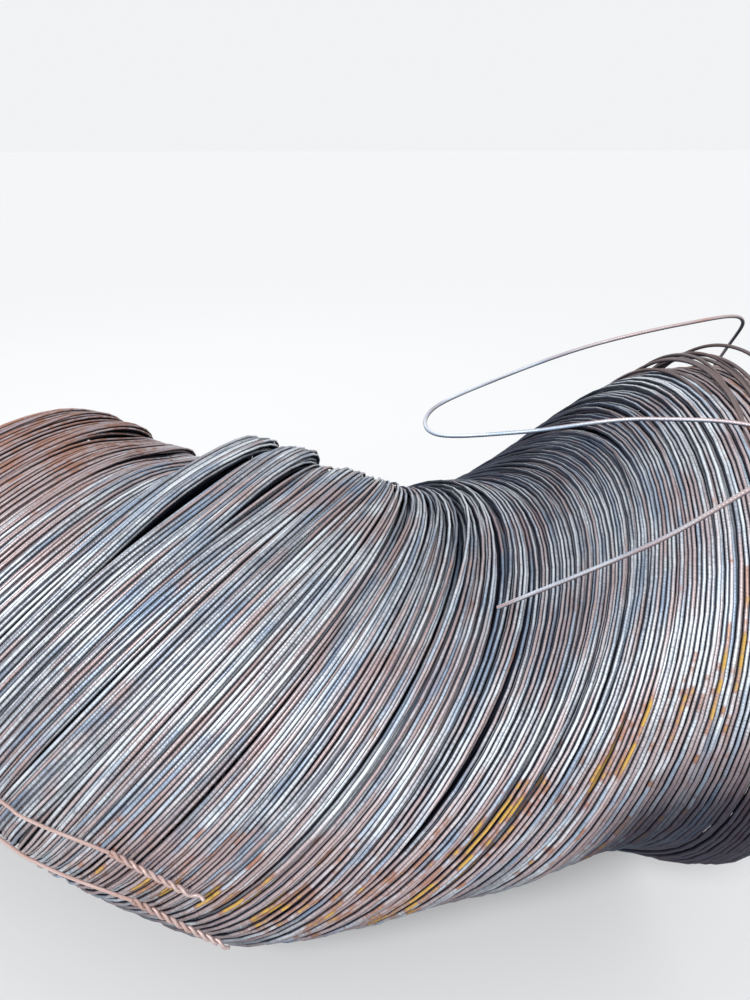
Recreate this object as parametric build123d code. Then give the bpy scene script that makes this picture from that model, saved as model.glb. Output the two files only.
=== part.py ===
from build123d import *
from math import ceil, cos, exp, pi, radians, sin, tan
import os

# A coil of wire rod that lies toppled on its side. Its turns stand almost upright at the right end,
# lean over more and more towards the left, and the whole coil bends away behind at its left part.
# Millimetres, X along the coil towards its right end, Y to the back, Z up, resting on Z = 0.

# Rod and turns
ROD_DIAMETER = 8.0
TURN_RADIUS = 560.0
BORE_RADIUS = 430.0

# How far the lowest turns have settled flat on the floor
SETTLE = 12.0

# Line of the coil on the floor, from the right end to the left
COIL_LENGTH = 2120.0
STRAIGHT_LENGTH = 830.0
BEND_RADIUS = 510.0
BEND_ANGLE = 33.0
HEADING_SHARE = 0.89

# Lean of the turns from upright, degrees
LEAN_RIGHT = 8.0
LEAN_MIDDLE = 43.5
LEAN_LEFT = 38.0
LEAN_RUN = 790.0
UNLEAN_RUN = 400.0

# Slump of the turns to the front, where the loose middle of the coil bulges out over the floor
SLUMP = 20.0
SLUMP_RUN = 930.0
SLUMP_REACH_RIGHT = 440.0
SLUMP_REACH_LEFT = 700.0
SLUMP_ANGLE = -42.0

# Bundles of turns along the outside, whose widths and crowns vary in waves of these angles a bundle
BUNDLE_WIDTH = 205.0
BUNDLE_SWELL = 9.0
GROOVE_DEPTH = 16.0
WIDTH_SPREAD = 0.28
WIDTH_WAVE = 2.4
CROWN_WAVE = 1.7
CROWN_SHARE = 0.5
BORE_STATIONS = 14

# Notches where the turns have parted along the ridge: distance, angle up from the front, and depth
NOTCHES = ((1400.0, 88.0, 55.0), (1190.0, 84.0, 36.0))
NOTCH_RADIUS = 500.0
NOTCH_HALF_ANGLE = 26.0
NOTCH_REACH_SHARE = 1.6

# Ridges of turns on each end
RIDGE_PITCH = 18.0
RIDGE_HEIGHT = 12.0
END_INSET = 12.0
END_SINK = 12.0
BORE_OVERRUN = 60.0

# Rods are six-sided here, being thin and long, and their bends take this share of the shorter run
ROD_SIDES = 6
LOOSE_BEND_SHARE = 0.45
TIE_BEND_SHARE = 0.2

# Sprung turn: its ends as angle up the right end and distance out of it, and between them points
# with X and Y from the foot of the right end and Z as a share of the upright turn's height
SPRUNG_START = ((158.0, -END_SINK), (153.0, 90.0))
SPRUNG_ROUTE = (
    (200, 330, 0.950), (160, 220, 1.050), (0, 160, 1.055), (-220, 150, 1.015), (-430, 100, 0.967),
    (-580, 20, 0.935), (-585, -75, 0.920), (-430, -130, 0.940), (-210, -180, 0.975), (0, -275, 0.970),
)
SPRUNG_STOP = ((48.0, 100.0), (36.0, -END_SINK))

# Free end of the rod, given in the same way
FREE_START = ((8.0, -END_SINK), (12.0, 100.0))
FREE_ROUTE = (
    (160, -460, 0.725), (120, -500, 0.950), (0, -512, 1.040), (-140, -490, 1.010),
    (-290, -438, 0.880), (-500, -325, 0.705),
)

# Ties of thinner rod, each twisted with its own other end
TIE_DIAMETER = 6.5
TIE_CLEARANCE = 12.0
TIE_SEAT = 0.3
TIE_REACH = 150.0
TWIST_PITCH = 46.0
TWIST_STEPS = 6
TWIST_RADIUS = 0.42 * TIE_DIAMETER
TAIL_LENGTH = 30.0
TIE_RUN_SHARES = (0.0, 0.08, 0.18, 0.9)
TIE_TIP_RISE = 6.0

# Each tie: its tip and the start of its twist as distance and angle, and its angle at the left end
TIES = {
    "tie_upper": ((935.0, 4.0), (1035.0, 10.0), 8.0),
    "tie_lower": ((855.0, -15.0), (980.0, -2.0), 1.0),
}


def smooth_step(share):
    """Rises from 0 to 1 with level ends."""
    share = min(max(share, 0.0), 1.0)
    return share * share * (3 - 2 * share)


def turned_at(run):
    """How far, in degrees, the coil's line has turned at this distance from the right end."""
    arc_length = radians(BEND_ANGLE) * BEND_RADIUS
    return BEND_ANGLE * min(max((run - STRAIGHT_LENGTH) / arc_length, 0.0), 1.0)


def line_at(run):
    """Point of the coil's line on the floor: a straight run, an arc, and a straight run."""
    turned = radians(turned_at(run))
    before = min(run, STRAIGHT_LENGTH)
    after = max(run - STRAIGHT_LENGTH - radians(BEND_ANGLE) * BEND_RADIUS, 0.0)
    along = before + BEND_RADIUS * sin(turned) + after * cos(turned)
    back = BEND_RADIUS * (1 - cos(turned)) + after * sin(turned)
    return -along, back


def lean_at(run):
    """Lean of the turns from upright, in degrees."""
    rise = (LEAN_MIDDLE - LEAN_RIGHT) * smooth_step(run / LEAN_RUN)
    fall = (LEAN_LEFT - LEAN_MIDDLE) * smooth_step((run - STRAIGHT_LENGTH) / UNLEAN_RUN)
    return LEAN_RIGHT + rise + fall


def slump_at(run):
    """How far the middle of the turn has slumped to the front, and by how much the turn has widened."""
    reach = SLUMP_REACH_RIGHT if run < SLUMP_RUN else SLUMP_REACH_LEFT
    return SLUMP * exp(-((run - SLUMP_RUN) / reach) ** 2)


def turn_plane(run):
    """Plane of the turn at this distance: X level towards the front, Y up the turn, Z to the left."""
    x, y = line_at(run)
    lean = radians(lean_at(run))
    heading = radians(HEADING_SHARE * turned_at(run))
    across = Vector(-sin(heading), -cos(heading), 0)
    axis = Vector(-cos(lean) * cos(heading), cos(lean) * sin(heading), sin(lean))
    unmoved = Plane(origin=(x, y, TURN_RADIUS * cos(lean) - SETTLE), x_dir=across, z_dir=axis)
    slump = slump_at(run)
    direction = radians(SLUMP_ANGLE)
    middle = unmoved.from_local_coords((slump * cos(direction), slump * sin(direction), 0))
    return Plane(origin=middle, x_dir=across, z_dir=axis)


def turn_circle(run, radius):
    """Circle round the turn's middle at this distance, of this radius before the turn widened."""
    return Wire.make_circle(radius + slump_at(run), turn_plane(run))


def on_turn(run, angle, radius):
    """Point on the turn at this distance, angle in degrees up from its front, radius as in its circle."""
    turn = radians(angle)
    reach = radius + slump_at(run)
    return turn_plane(run).from_local_coords((reach * cos(turn), reach * sin(turn), 0))


def bundle_edges():
    """Distances at which one bundle of turns ends and the next begins, of uneven widths."""
    count = max(round(COIL_LENGTH / BUNDLE_WIDTH), 2)
    shares = [1 + WIDTH_SPREAD * sin(WIDTH_WAVE * number) for number in range(count)]
    edges = [0.0]
    for share in shares:
        edges.append(edges[-1] + COIL_LENGTH * share / sum(shares))
    return edges


def coil_outside():
    """Closed body inside the outer turns, grooved between the bundles."""
    edges = bundle_edges()
    rings = [(edges[0], TURN_RADIUS - GROOVE_DEPTH / 2)]
    for number, (start, stop) in enumerate(zip(edges, edges[1:])):
        crown = TURN_RADIUS + BUNDLE_SWELL * sin(CROWN_WAVE * number)
        middle = (start + stop) / 2
        half = CROWN_SHARE * (stop - start) / 2
        rings.append((middle - half, crown))
        rings.append((middle + half, crown))
        rings.append((stop, TURN_RADIUS - GROOVE_DEPTH))
    return Solid.make_loft([turn_circle(run, radius) for run, radius in rings], ruled=True)


def coil_bore():
    """The space inside the turns, a little longer than the coil at both ends."""
    step = COIL_LENGTH / (BORE_STATIONS - 1)
    inner_runs = [step * number for number in range(1, BORE_STATIONS - 1)]
    runs = [-BORE_OVERRUN] + inner_runs + [COIL_LENGTH + BORE_OVERRUN]
    return Solid.make_loft([turn_circle(run, BORE_RADIUS) for run in runs], ruled=True)


def end_turns(plane):
    """Rings of ridges, the turns that show on an end, on a plane that faces outwards."""
    inner = BORE_RADIUS + END_INSET
    outer = TURN_RADIUS - GROOVE_DEPTH - END_INSET
    count = max(round((outer - inner) / RIDGE_PITCH), 1)
    pitch = (outer - inner) / count
    points = [(inner, -END_SINK), (inner, 0)]
    for number in range(count):
        points.append((inner + (number + 0.5) * pitch, RIDGE_HEIGHT))
        points.append((inner + (number + 1) * pitch, 0))
    points.append((outer, -END_SINK))
    profile = make_face(Polyline(*[(radius, 0, height) for radius, height in points], close=True))
    return plane.location * revolve(profile, Axis.Z)


def rod_along(points, bend_share):
    """Path of straight runs joined by tangent arcs, which take this share of the shorter run."""
    corners = [Vector(point) for point in points]
    radii = []
    for before, corner, after in zip(corners, corners[1:], corners[2:]):
        half_turn = radians((corner - before).get_angle(after - corner)) / 2
        shorter = min((corner - before).length, (after - corner).length)
        radii.append(bend_share * shorter / tan(half_turn))
    return FilletPolyline(*corners, radius=radii)


def rod(path, diameter):
    """Six-sided rod swept along a path of runs and arcs."""
    section = Plane(origin=path @ 0, z_dir=path % 0) * RegularPolygon(diameter / 2, ROD_SIDES)
    return sweep(section, path=path)


def notch(run, angle, depth):
    """A V-edged wheel in the plane of the turn, which reaches this deep into the wall of turns."""
    reach = NOTCH_REACH_SHARE * depth
    half_width = reach * tan(radians(NOTCH_HALF_ANGLE))
    shoulder = NOTCH_RADIUS - reach
    points = [
        (0, 0, -half_width), (shoulder, 0, -half_width), (NOTCH_RADIUS, 0, 0),
        (shoulder, 0, half_width), (0, 0, half_width),
    ]
    wheel = revolve(make_face(Polyline(*points, close=True)), Axis.Z)
    middle = on_turn(run, angle, TURN_RADIUS - depth + NOTCH_RADIUS)
    plane = turn_plane(run)
    return Plane(origin=middle, x_dir=plane.x_dir, z_dir=plane.z_dir).location * wheel


def beyond_end(angle, out):
    """Point level with the middle of the end turns on the right, this far out from the end's plane."""
    return on_turn(-out, angle, (BORE_RADIUS + TURN_RADIUS) / 2)


def sprung_turn():
    """A turn that has sprung off the top of the right end, with its hairpin over the middle."""
    points = [beyond_end(angle, out) for angle, out in SPRUNG_START]
    points += [(x, y, share * 2 * TURN_RADIUS) for x, y, share in SPRUNG_ROUTE]
    points += [beyond_end(angle, out) for angle, out in SPRUNG_STOP]
    return rod(rod_along(points, LOOSE_BEND_SHARE), ROD_DIAMETER)


def free_end():
    """The cut end of the rod, sprung out of the front of the right end."""
    points = [beyond_end(angle, out) for angle, out in FREE_START]
    points += [(x, y, share * 2 * TURN_RADIUS) for x, y, share in FREE_ROUTE]
    return rod(rod_along(points, LOOSE_BEND_SHARE), ROD_DIAMETER)


def wire_coil():
    """All the turns of the rod as one body, with its bore, its sprung turn and its free end."""
    body = coil_outside() - coil_bore()
    for run, angle, depth in NOTCHES:
        body -= notch(run, angle, depth)
    right_end = turn_plane(0)
    body += end_turns(Plane(origin=right_end.origin, x_dir=right_end.x_dir, z_dir=-right_end.z_dir))
    body += end_turns(turn_plane(COIL_LENGTH))
    reach = 2 * (COIL_LENGTH + TURN_RADIUS)
    body -= Pos(0, 0, -reach / 2) * Box(reach, reach, reach)
    body += sprung_turn()
    body += free_end()
    return body


def twist_strand(start, end, phase, tail):
    """One of two strands that wind round the line from start to end, with a straight tail."""
    direction = (end - start).normalized()
    frame = Plane(origin=start, z_dir=direction)
    length = (end - start).length
    steps = ceil(TWIST_STEPS * length / TWIST_PITCH)
    points = []
    for number in range(steps + 1):
        turn = phase + 2 * pi * number / TWIST_STEPS
        height = length * number / steps
        points.append(frame.from_local_coords((TWIST_RADIUS * cos(turn), TWIST_RADIUS * sin(turn), height)))
    if tail:
        points.append(points[-1] + direction * TAIL_LENGTH)
    path = Polyline(*points)
    section = Plane(origin=path @ 0, z_dir=path % 0) * RegularPolygon(TIE_DIAMETER / 2, ROD_SIDES)
    return sweep(section, path=path, transition=Transition.RIGHT)


def tie(tip, twist_start, end_angle):
    """A tie that hooks round the left end and lies along the front, with its twisted end loose."""
    outside = TURN_RADIUS + BUNDLE_SWELL + TIE_CLEARANCE
    inside = BORE_RADIUS - 2 * TIE_CLEARANCE
    start_run, start_angle = twist_start
    points = []
    for share in TIE_RUN_SHARES:
        run = start_run + share * (COIL_LENGTH - start_run)
        points.append(on_turn(run, start_angle + share * (end_angle - start_angle), outside))
    seat = turn_plane(COIL_LENGTH).offset(RIDGE_HEIGHT + TIE_SEAT + TIE_DIAMETER / 2)
    turn = radians(end_angle)
    for radius in (outside, inside):
        points.append(seat.from_local_coords((radius * cos(turn), radius * sin(turn), 0)))
    points.append(on_turn(COIL_LENGTH - TIE_REACH, end_angle, inside))
    body = rod(rod_along(points, TIE_BEND_SHARE), TIE_DIAMETER)
    twist = on_turn(*tip, outside + TIE_TIP_RISE) - points[0]
    loose_end = points[0] + twist.normalized() * (twist.length - TAIL_LENGTH)
    body += twist_strand(points[0], loose_end, 0.0, True)
    body += twist_strand(points[0], loose_end, pi, False)
    return body


def main():
    """Builds the pieces, sets the origin under the middle of their box and writes each node."""
    nodes = {"wire_coil": wire_coil()}
    for name, (tip, twist_start, end_angle) in TIES.items():
        nodes[name] = tie(tip, twist_start, end_angle)
    box = Compound(children=[Compound(list(node.solids())) for node in nodes.values()]).bounding_box()
    middle = Pos(-box.center().X, -box.center().Y, 0)
    print("origin moved to", round(box.center().X, 2), round(box.center().Y, 2), "low", round(box.min.Z, 3))
    os.makedirs("parts", exist_ok=True)
    for name, node in nodes.items():
        export_step(middle * node, f"parts/{name}.step")


main()
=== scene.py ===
"""A toppled coil of hot-rolled wire rod, with its sprung turn, its free end and its twisted ties."""
import logging
from dataclasses import dataclass, field
from enum import Enum

import bpy
import numpy as np
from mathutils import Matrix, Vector


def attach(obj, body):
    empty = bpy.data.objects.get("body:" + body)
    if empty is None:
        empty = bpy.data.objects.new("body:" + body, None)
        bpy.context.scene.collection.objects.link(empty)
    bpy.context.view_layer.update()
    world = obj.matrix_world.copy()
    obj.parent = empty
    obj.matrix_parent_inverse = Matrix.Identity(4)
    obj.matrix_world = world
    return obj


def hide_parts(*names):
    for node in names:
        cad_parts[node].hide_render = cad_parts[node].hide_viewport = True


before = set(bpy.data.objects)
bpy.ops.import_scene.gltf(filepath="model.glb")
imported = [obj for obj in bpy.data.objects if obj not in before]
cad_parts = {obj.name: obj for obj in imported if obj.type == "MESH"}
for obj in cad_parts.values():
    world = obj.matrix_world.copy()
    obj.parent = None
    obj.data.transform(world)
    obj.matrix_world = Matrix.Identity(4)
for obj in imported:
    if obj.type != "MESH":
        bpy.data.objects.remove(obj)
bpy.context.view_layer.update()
LOG = logging.getLogger("wire_rod_coil")

Pair = tuple[float, float]
Triple = tuple[float, float, float]
Socket = bpy.types.NodeSocket

ROD_DIAMETER = 0.008
TIE_DIAMETER = 0.0065
ORIGIN_SHIFT = (1.07286, -0.25955)
GOLDEN_SHARE = 0.6180339887
FULL_TURN = 2 * np.pi


class Region(Enum):
    """Stretches of the coil, from its right end to its left, each a piece of its own."""

    RIGHT = "turns_right"
    FAN = "turns_fan"
    BEND = "turns_bend"
    MIDDLE = "turns_middle"
    LEFT = "turns_left"


def smooth_step(share: np.ndarray) -> np.ndarray:
    """Return a rise from 0 to 1 with level ends, for shares from 0 to 1."""
    share = np.clip(share, 0.0, 1.0)
    return share * share * (3 - 2 * share)


def hump(place: np.ndarray, middle: float, reach: float) -> np.ndarray:
    """Return a round hump of height 1 over a middle, which is down to a third at its reach."""
    return np.exp(-((place - middle) / reach) ** 2)


def unit(vectors: np.ndarray) -> np.ndarray:
    """Return the vectors scaled to a length of one."""
    return vectors / np.maximum(np.linalg.norm(vectors, axis=-1, keepdims=True), 1e-9)


@dataclass(frozen=True)
class CoilLine:
    """The coil's line on the floor, and how its turns stand along it, in metres and degrees."""

    turn_radius: float = 0.56
    settle: float = 0.012
    length: float = 2.12
    straight: float = 0.83
    bend_radius: float = 0.51
    bend_angle: float = 33.0
    heading_share: float = 0.89
    lean_right: float = 8.0
    lean_middle: float = 43.5
    lean_left: float = 38.0
    lean_run: float = 0.79
    unlean_run: float = 0.4
    slump_size: float = 0.02
    slump_run: float = 0.93
    slump_reach_right: float = 0.44
    slump_reach_left: float = 0.7
    slump_angle: float = -42.0

    def turned(self, run: np.ndarray) -> np.ndarray:
        """Return how far, in radians, the line has turned at each run."""
        angle = np.radians(self.bend_angle)
        return angle * np.clip((run - self.straight) / (angle * self.bend_radius), 0.0, 1.0)

    def lean(self, run: np.ndarray) -> np.ndarray:
        """Work out how far the turns lean from upright.

        Args:
            run: Distances along the line from the coil's right end.

        Returns:
            The leans, in radians.
        """
        rise = (self.lean_middle - self.lean_right) * smooth_step(run / self.lean_run)
        fall = (self.lean_left - self.lean_middle) * smooth_step((run - self.straight) / self.unlean_run)
        return np.radians(self.lean_right + rise + fall)

    def slump(self, run: np.ndarray) -> np.ndarray:
        """Return how far each turn has slumped to the front, and by how much it has widened."""
        reach = np.where(run < self.slump_run, self.slump_reach_right, self.slump_reach_left)
        return self.slump_size * np.exp(-((run - self.slump_run) / reach) ** 2)

    def frames(self, run: np.ndarray) -> tuple[np.ndarray, np.ndarray, np.ndarray, np.ndarray]:
        """Work out where each turn's middle is and how the turn stands.

        Args:
            run: Distances along the line from the coil's right end.

        Returns:
            The middles, the level directions towards the front, the directions up the turns,
            and the axes, which point to the left.
        """
        run = np.asarray(run, dtype=float)
        turned = self.turned(run)
        heading = self.heading_share * turned
        lean = self.lean(run)
        after = np.maximum(run - self.straight - np.radians(self.bend_angle) * self.bend_radius, 0.0)
        along = np.minimum(run, self.straight) + self.bend_radius * np.sin(turned) + after * np.cos(turned)
        back = self.bend_radius * (1 - np.cos(turned)) + after * np.sin(turned)
        height = self.turn_radius * np.cos(lean) - self.settle
        middle = np.stack([ORIGIN_SHIFT[0] - along, ORIGIN_SHIFT[1] + back, height], axis=-1)
        across = np.stack([-np.sin(heading), -np.cos(heading), np.zeros_like(run)], axis=-1)
        level = np.cos(lean)
        axis = np.stack([-level * np.cos(heading), level * np.sin(heading), np.sin(lean)], axis=-1)
        upward = np.cross(axis, across)
        direction = np.radians(self.slump_angle)
        shift = self.slump(run)[..., None]
        middle = middle + shift * (np.cos(direction) * across + np.sin(direction) * upward)
        return middle, across, upward, axis

    def points(self, run: np.ndarray, angle: np.ndarray,
               radius: np.ndarray) -> tuple[np.ndarray, np.ndarray]:
        """Place points on the turns.

        Args:
            run: Runs of the points.
            angle: Angles up from the front of the turn, in radians.
            radius: Distances from the turn's middle, before the turn widened.

        Returns:
            The points and the directions outwards there.
        """
        middle, across, upward, _ = self.frames(run)
        outward = np.cos(angle)[..., None] * across + np.sin(angle)[..., None] * upward
        return middle + (radius + self.slump(run))[..., None] * outward, outward

    def spot(self, run: float, angle: float, radius: float) -> np.ndarray:
        """Return one point on a turn, with its angle in degrees."""
        return self.points(np.array([run]), np.radians([angle]), np.array([radius]))[0][0]


LINE = CoilLine()


@dataclass(frozen=True)
class Split:
    """A place where the turns have parted, open at one side of the coil and closed inside it."""

    run: float
    angle: float
    opening: float
    reach_run: float
    reach_angle: float
    reach_depth: float = 0.07
    edge: float = 0.004

    def shift(self, run: np.ndarray, angle: np.ndarray, depth: np.ndarray) -> np.ndarray:
        """Work out how far the turns move along the line to leave the opening.

        Args:
            run: Runs of the points on the turns.
            angle: Their angles up from the front of the turn, in radians.
            depth: How far inside the coil's outside they lie.

        Returns:
            The moves, which point to the left where they are positive.
        """
        side = np.tanh((run - self.run) / self.edge)
        fading = np.exp(-np.abs(run - self.run) / self.reach_run)
        near = np.clip(1 - depth / self.reach_depth, 0, 1)
        facing = hump(np.degrees(angle), self.angle, self.reach_angle)
        return 0.5 * self.opening * side * fading * near * facing


@dataclass(frozen=True)
class Swell:
    """A stretch where the turns stand out from the coil, or have sunk into it."""

    start: float
    stop: float
    angle: float
    height: float
    edge: float
    reach_angle: float

    def rise(self, run: np.ndarray, angle: np.ndarray) -> np.ndarray:
        """Return how far the turns stand out."""
        stretch = np.tanh((run - self.start) / self.edge) - np.tanh((run - self.stop) / self.edge)
        return 0.5 * self.height * stretch * hump(np.degrees(angle), self.angle, self.reach_angle)


@dataclass
class Section:
    """The coil's outside along its length at one angle, unrolled square to the turns."""

    angle: float
    radius: float
    least_facing: float = 0.35
    least_rate: float = 0.04
    overrun: float = 0.15
    samples: int = 1200
    runs: np.ndarray = field(init=False)
    tables: dict[str, np.ndarray] = field(init=False)

    def __post_init__(self) -> None:
        """Measure, along the coil, how fast the outside moves along and out of the turns."""
        self.runs = np.linspace(-self.overrun, LINE.length + self.overrun, self.samples)
        middle, across, upward, axis = LINE.frames(self.runs)
        outward = np.cos(self.angle) * across + np.sin(self.angle) * upward
        rim = middle + (self.radius + LINE.slump(self.runs))[:, None] * outward
        ahead = np.gradient(rim, self.runs, axis=0)
        radial = np.sum(ahead * outward, axis=1)
        least = self.least_rate + self.least_facing * np.abs(radial)
        axial = np.maximum(np.sum(ahead * axis, axis=1), least)
        rate = np.hypot(axial, radial)
        self.tables = {"axial": self.total(axial), "radial": self.total(radial), "length": self.total(rate),
                       "rate": rate, "slant": radial / rate, "facing": axial / rate}

    def total(self, rate: np.ndarray) -> np.ndarray:
        """Return the sum of a rate along the runs."""
        steps = 0.5 * (rate[1:] + rate[:-1]) * np.diff(self.runs)
        return np.concatenate([[0.0], np.cumsum(steps)])

    def at(self, table: str, run: np.ndarray) -> np.ndarray:
        """Return the values of one table at these runs."""
        return np.interp(run, self.runs, self.tables[table])

    def flat(self, run: np.ndarray, radius: np.ndarray) -> tuple[np.ndarray, np.ndarray, np.ndarray]:
        """Return the level and upward distances of wires in the section, and their order along it."""
        along = self.at("length", run) + (radius - self.radius) * self.at("slant", run)
        return self.at("axial", run), self.at("radial", run) + radius, along

    def back(self, level: np.ndarray, up: np.ndarray) -> tuple[np.ndarray, np.ndarray]:
        """Return the runs and radii of wires, from their places in the section."""
        run = np.interp(level, self.tables["axial"], self.runs)
        return run, up - self.at("radial", run)


@dataclass
class TurnLayout:
    """Lays one continuous wire in some twelve hundred turns and settles the turns on each other.

    Sizes are in metres. Angles are in degrees, up from the front of the turn, with 90 at the top.
    """

    turns: int = 1240
    stations: int = 56
    seed: int = 41
    start_angle: float = -90.0
    end_margin: float = 0.004
    outer_radius: float = 0.5665
    inner_radius: float = 0.436
    limit_radius: float = 0.574
    floor_height: float = 0.0045
    bundle_count: int = 60
    bundle_turns: Pair = (14.0, 70.0)
    bundle_gap: Pair = (0.5, 4.0)
    last_bundle: int = 3
    wave_orders: tuple[Pair, ...] = ((1, 1.0), (2, 1.0), (3, 0.7), (5, 0.35), (7, 0.2))
    run_waves: tuple[float, int, float] = (0.0022, 40, 0.35)
    radius_waves: tuple[float, int, float] = (0.0007, 60, 0.5)
    crossings: Pair = (0.05, 0.03)
    crossover: float = 60.0
    even_turns: int = 20
    strand_pitch: float = 0.0091
    layer_step: float = 0.0070
    least_room: float = 0.02
    shown_layers: float = 2.6
    shown_wall: float = 0.6
    least_buried: float = 0.5
    buried_share: float = 0.42
    buried_depth: float = 0.84
    settled_depth: float = 0.026
    settle_sweeps: int = 2
    relax_rounds: int = 18
    relax_amount: float = 0.4
    parted_rounds: int = 10
    parted_amount: float = 0.1
    neighbours: int = 9
    kept_gap: float = 1.01
    push_share: float = 0.7
    largest_step: float = 0.003
    least_gap: float = 1e-5
    least_step: float = 1e-6
    small_splits: int = 30
    small_margin: float = 0.05
    small_opening: Pair = (0.004, 0.013)
    small_angle: Pair = (-60.0, 120.0)
    small_reach: Pair = (15.0, 40.0)
    small_reach_run: float = 0.05
    ridge_splits: int = 16
    ridge_runs: Pair = (0.72, 1.26)
    ridge_opening: Pair = (0.006, 0.020)
    ridge_shift: Pair = (-0.01, 0.01)
    ridge_angle: Pair = (88.0, 104.0)
    ridge_reach: Pair = (12.0, 24.0)
    ridge_reach_run: float = 0.03
    stray_share: float = 0.16
    stray_rise: float = 0.016
    stray_angle: Pair = (96.0, 122.0)
    stray_reach: Pair = (14.0, 26.0)
    splits: tuple[Split, ...] = (
        Split(1.41, 86.0, 0.060, 0.12, 20.0, 0.10),
        Split(1.28, 94.0, 0.042, 0.08, 17.0, 0.10),
        Split(1.77, 100.0, 0.024, 0.06, 20.0),
    )
    swells: tuple[Swell, ...] = (
        Swell(1.42, 1.52, 118.0, 0.044, 0.010, 24.0),
        Swell(1.29, 1.40, 118.0, 0.040, 0.010, 24.0),
        Swell(1.05, 1.21, 118.0, 0.014, 0.015, 24.0),
        Swell(1.53, 1.70, 116.0, -0.085, 0.010, 30.0),
        Swell(1.70, 1.89, 116.0, -0.065, 0.020, 28.0),
        Swell(1.93, 1.99, 112.0, -0.020, 0.02, 24.0),
        Swell(-0.10, 0.10, -58.0, -0.030, 0.04, 20.0),
        Swell(0.12, 0.31, -38.0, -0.065, 0.05, 22.0),
        Swell(0.56, 0.80, -30.0, 0.012, 0.08, 22.0),
        Swell(0.86, 1.35, -28.0, -0.024, 0.06, 20.0),
    )

    def angles(self) -> np.ndarray:
        """Return the angle of each station, in radians, counted from under the coil and up its front."""
        return np.radians(self.start_angle) + np.linspace(0, FULL_TURN, self.stations, endpoint=False)

    def spacing(self, rng: np.random.Generator) -> np.ndarray:
        """Space the turns along the line, close together in bundles and wider between them.

        Args:
            rng: Seeded source of the random numbers.

        Returns:
            The run of each turn.
        """
        density = np.ones(self.turns)
        edges = np.cumsum(rng.uniform(*self.bundle_turns, self.bundle_count)).astype(int)
        for edge in edges[edges < self.turns - self.last_bundle]:
            density[edge] += rng.uniform(*self.bundle_gap)
        run = np.cumsum(density)
        run = (run - run[0]) / (run[-1] - run[0])
        return self.end_margin + run * (LINE.length - 2 * self.end_margin)

    def wander(self, rng: np.random.Generator, size: float, reach: int, own: float) -> np.ndarray:
        """Make uneven waves round the turns that neighbours share in part.

        Args:
            rng: Seeded source of the random numbers.
            size: Height of the waves, in metres.
            reach: Number of turns over which the waves change.
            own: Share of the waves that each turn has for itself.

        Returns:
            One offset for each turn and station.
        """
        angle = self.angles()
        waves = np.zeros((self.turns, self.stations))
        knots = np.arange(0, self.turns + reach, reach)
        for order, share in self.wave_orders:
            for wave in (np.cos, np.sin):
                shared = np.interp(np.arange(self.turns), knots, rng.normal(size=len(knots)))
                single = own * rng.normal(size=self.turns)
                waves += size * share * np.outer(shared + single, wave(order * angle))
        return waves

    def ranks(self, rng: np.random.Generator) -> np.ndarray:
        """Give every turn and station a place from 0, outermost, to 1, innermost.

        Args:
            rng: Seeded source of the random numbers.

        Returns:
            The places, which follow on from each turn to the next.
        """
        angle = self.angles()[None, :]
        rank = np.mod(np.arange(self.turns) * GOLDEN_SHARE, 1.0)
        phase = rng.uniform(0, FULL_TURN, self.turns)[:, None]
        once, twice = self.crossings
        crossing = once * rng.random(self.turns)[:, None] * np.cos(angle - phase)
        crossing += twice * rng.random(self.turns)[:, None] * np.cos(2 * angle + 3 * phase)
        wave = np.clip(rank[:, None] + crossing, 0.0, 1.0)
        # Over its last stretch each turn crosses to the place where the next one starts.
        share = smooth_step((np.degrees(angle) - self.start_angle - 360 + self.crossover) / self.crossover)
        following = np.vstack([wave[1:], wave[-1:]])
        return wave + share * (following[:, :1] - wave)

    def depths(self, wave: np.ndarray, base: np.ndarray, sections: list[Section]) -> np.ndarray:
        """Share the turns out over the wall, so that those on the outside lie side by side.

        Args:
            wave: Place of each turn and station from the outermost to the innermost.
            base: Run of each turn.
            sections: The coil's outside at each station.

        Returns:
            How much nearer to the turn's middle each turn and station lies than the outside.
        """
        depth = np.zeros_like(wave)
        window = 2 * self.even_turns + 1
        spacing = np.pad(np.gradient(base), self.even_turns, mode="edge")
        spacing = np.convolve(spacing, np.ones(window) / window, mode="valid")
        wall = self.outer_radius - self.inner_radius
        shown = self.shown_layers
        # The outer layers lie a step apart. The other turns are shared out over the rest of the wall.
        for station, section in enumerate(sections):
            room = np.clip(section.at("rate", base) * spacing / self.strand_pitch, self.least_room, 1.0)
            step = np.minimum(self.layer_step / section.at("facing", base), self.shown_wall * wall / shown)
            layer = wave[:, station] / room
            layers = np.maximum(1 / room, shown + self.least_buried)
            inside = np.clip((layer - shown) / (layers - shown), 0.0, 1.0)
            buried = np.interp(inside, (0.0, self.buried_share, 1.0), (0.0, self.buried_depth, 1.0))
            depth[:, station] = step * np.minimum(layer, shown) + buried * (wall - step * shown)
        return depth

    def settle(self, run: np.ndarray, radius: np.ndarray, sections: list[Section]) -> None:
        """Push apart, in place, the outer turns where they overlap, station by station.

        Args:
            run: Run of the wire at each turn and station.
            radius: Distance of the wire from the turn's middle at each turn and station.
            sections: The coil's outside at each station.
        """
        for station, section in enumerate(sections):
            under = (self.outer_radius - radius[:, station]) * section.at("facing", run[:, station])
            shown = np.flatnonzero(under < self.settled_depth)
            for _ in range(self.settle_sweeps):
                run[shown, station], radius[shown, station] = self.spread(
                    section, run[shown, station], radius[shown, station])

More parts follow.
